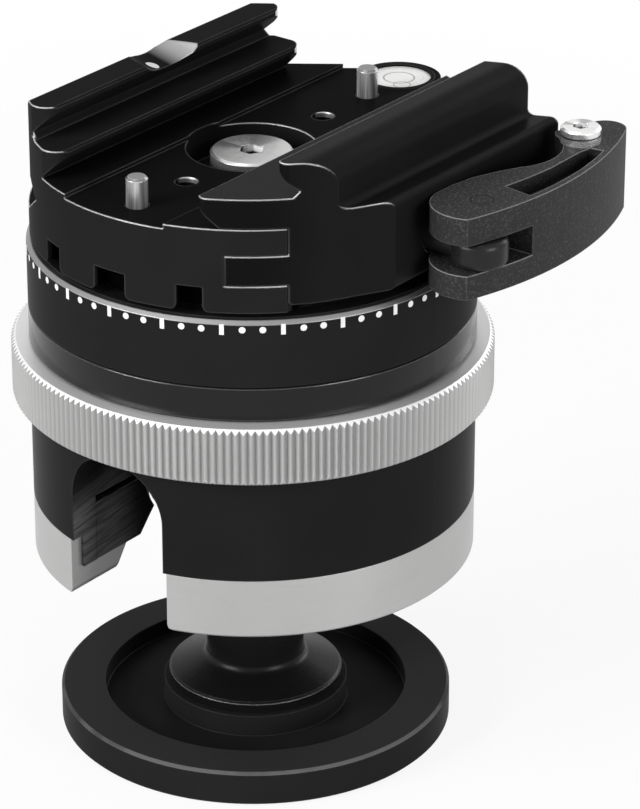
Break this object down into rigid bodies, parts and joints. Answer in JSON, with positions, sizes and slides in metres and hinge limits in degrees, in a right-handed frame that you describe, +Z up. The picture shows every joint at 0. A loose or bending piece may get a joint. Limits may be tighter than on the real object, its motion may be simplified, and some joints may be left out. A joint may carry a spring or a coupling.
{
  "type": "ball head",
  "caption": "Inverted tripod ball head: dished foot and ball under a notched housing, knurled lock ring, panning scale and quick-release clamp with cam lever.",
  "frame": {"origin": "centre of the foot's underside, at the mouth of the tripod thread", "axes": "+Z up through the head, +X across the clamp to the moving jaw and lever, +Y along the jaws to the level; the drop notch opens to -Y"},
  "size_m": [0.0733, 0.0708, 0.0936],
  "materials": {
    "black_anodised": "black anodised, satin",
    "black_gloss": "black anodised, polished",
    "silver_anodised": "clear anodised, satin",
    "steel": "turned steel",
    "bright_steel": "bright stainless steel",
    "spring_steel": "spring wire",
    "lever_grey": "dark grey fine-textured coat",
    "bearing_plastic": "low-friction bearing plastic",
    "vial_white": "white level face under a clear top"
  },
  "bodies": {
    "base": {"foot_disc": "black_anodised", "thread_bush": "steel", "foot_screws": "steel", "ball_stem": "black_anodised"},
    "ball": {"ball": "black_anodised"},
    "housing": {"drop_ring": "silver_anodised", "lower_housing": "black_anodised", "upper_housing": "black_gloss", "scale_ring": "black_anodised", "housing_screws": "steel", "upper_ball_seat": "bearing_plastic", "pan_washers": "bearing_plastic", "pan_retainer": "steel"},
    "lower_seat": {"lower_ball_seat": "black_anodised"},
    "lock_ring": {"lock_ring": "silver_anodised"},
    "planet_1": {"planet_gear_1": "steel"},
    "planet_2": {"planet_gear_2": "steel"},
    "planet_3": {"planet_gear_3": "steel"},
    "clamp": {"pan_hub": "steel", "clamp_base": "black_anodised", "clamp_screw": "bright_steel", "level_cup": "black_anodised", "level_vial": "vial_white", "front_pin_spring": "spring_steel", "rear_pin_spring": "spring_steel", "stop_pin_plugs": "steel", "draw_bolt": "steel", "jaw_springs": "spring_steel"},
    "jaw": {"moving_jaw": "black_anodised"},
    "lever": {"lever": "lever_grey", "lever_pin": "steel", "lever_stud": "bright_steel"},
    "front_pin": {"stop_pin_front": "bright_steel"},
    "rear_pin": {"stop_pin_rear": "bright_steel"}
  },
  "joints": [
    {"name": "ball_swivel", "type": "hinge", "parent": "base", "child": "ball", "pos_m": [0, 0, 0.0423], "axis": [0, 0, 1], "continuous": true},
    {"name": "ball_tilt", "type": "hinge", "parent": "ball", "child": "housing", "pos_m": [0, 0, 0.0423], "axis": [1, 0, 0], "range_deg": [-34, 90]},
    {"name": "lock_turn", "type": "hinge", "parent": "housing", "child": "lock_ring", "pos_m": [0, 0, 0.0544], "axis": [0, 0, 1], "range_deg": [0, 60]},
    {"name": "seat_lift", "type": "slide", "parent": "housing", "child": "lower_seat", "axis": [0, 0, 1], "range_m": [0, 0.00046]},
    {"name": "pan_turn", "type": "hinge", "parent": "housing", "child": "clamp", "pos_m": [0, 0, 0.0734], "axis": [0, 0, 1], "continuous": true},
    {"name": "lever_swing", "type": "hinge", "parent": "clamp", "child": "lever", "pos_m": [0.0367, 0.00025, 0.0792], "axis": [0, 0, -1], "range_deg": [0, 120]},
    {"name": "jaw_slide", "type": "slide", "parent": "clamp", "child": "jaw", "axis": [1, 0, 0], "range_m": [0, 0.00261], "deforming": ["jaw_springs"]},
    {"name": "front_pin_press", "type": "slide", "parent": "clamp", "child": "front_pin", "axis": [0, 0, -1], "range_m": [0, 0.0039], "stiffness_N_per_m": 150, "springref_m": -0.002, "deforming": ["front_pin_spring"]},
    {"name": "rear_pin_press", "type": "slide", "parent": "clamp", "child": "rear_pin", "axis": [0, 0, -1], "range_m": [0, 0.0039], "stiffness_N_per_m": 150, "springref_m": -0.002, "deforming": ["rear_pin_spring"]},
    {"name": "planet_turn_1", "type": "hinge", "parent": "housing", "child": "planet_1", "pos_m": [0, 0.0216, 0.0537], "axis": [0, 0, 1], "range_deg": [0, 331]},
    {"name": "planet_turn_2", "type": "hinge", "parent": "housing", "child": "planet_2", "pos_m": [-0.01871, -0.0108, 0.0537], "axis": [0, 0, 1], "range_deg": [0, 331]},
    {"name": "planet_turn_3", "type": "hinge", "parent": "housing", "child": "planet_3", "pos_m": [0.01871, -0.0108, 0.0537], "axis": [0, 0, 1], "range_deg": [0, 331]}
  ],
  "couplings": [
    {"joint": "seat_lift", "follows": "lock_turn", "m_per_rad": 0.00043},
    {"joint": "jaw_slide", "follows": "lever_swing", "m_per_rad": 0.0012414},
    {"joint": "planet_turn_1", "follows": "lock_turn", "ratio": 5.5},
    {"joint": "planet_turn_2", "follows": "lock_turn", "ratio": 5.5},
    {"joint": "planet_turn_3", "follows": "lock_turn", "ratio": 5.5}
  ]
}
